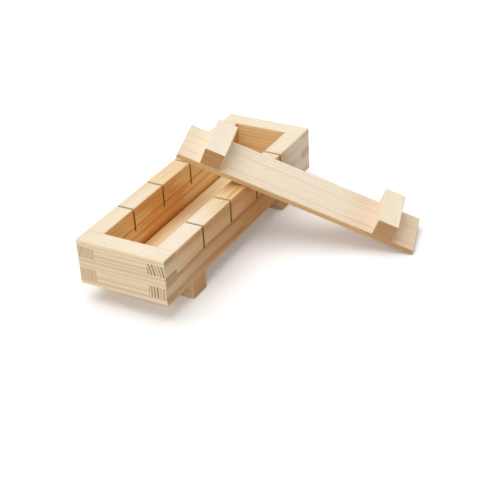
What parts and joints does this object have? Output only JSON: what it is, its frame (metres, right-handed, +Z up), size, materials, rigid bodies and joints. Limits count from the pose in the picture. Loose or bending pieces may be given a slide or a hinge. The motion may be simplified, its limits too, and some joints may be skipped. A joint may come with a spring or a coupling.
{
  "type": "sushi rice mold press",
  "caption": "Wooden box press for pressed sushi: slotted finger-jointed frame on a footed base, with the two-handled press lid leaning across it.",
  "frame": {"origin": "on the table, in the middle of the ground that the box and the leaning lid cover together", "axes": "+X along the box, its left end at -X; -Y is the front, to which the lid leans down; +Z up"},
  "size_m": [0.215, 0.1853, 0.0834],
  "materials": {
    "long_wall_wood": "planed pale softwood, unfinished",
    "end_wall_wood": "planed pale softwood, unfinished",
    "base_wood": "planed pale softwood, unfinished",
    "lid_wood": "planed pale softwood, unfinished",
    "handle_wood": "planed pale softwood, unfinished",
    "peg_bamboo": "bamboo, cut flush"
  },
  "bodies": {
    "base": {"base_plate": "base_wood", "left_foot": "base_wood", "right_foot": "base_wood", "left_foot_pegs": "peg_bamboo", "right_foot_pegs": "peg_bamboo"},
    "frame": {"front_wall": "long_wall_wood", "back_wall": "long_wall_wood", "left_end_wall": "end_wall_wood", "right_end_wall": "end_wall_wood"},
    "lid": {"press_plate": "lid_wood", "left_handle": "handle_wood", "right_handle": "handle_wood", "left_handle_pegs": "peg_bamboo", "right_handle_pegs": "peg_bamboo"}
  },
  "joints": [
    {"name": "frame_lift", "type": "slide", "parent": "base", "child": "frame", "axis": [0, 0, 1], "range_m": [0, 0.06]},
    {"name": "lid_lift", "type": "slide", "parent": "frame", "child": "lid", "axis": [0, 0, 1], "range_m": [0, 0.06]}
  ]
}
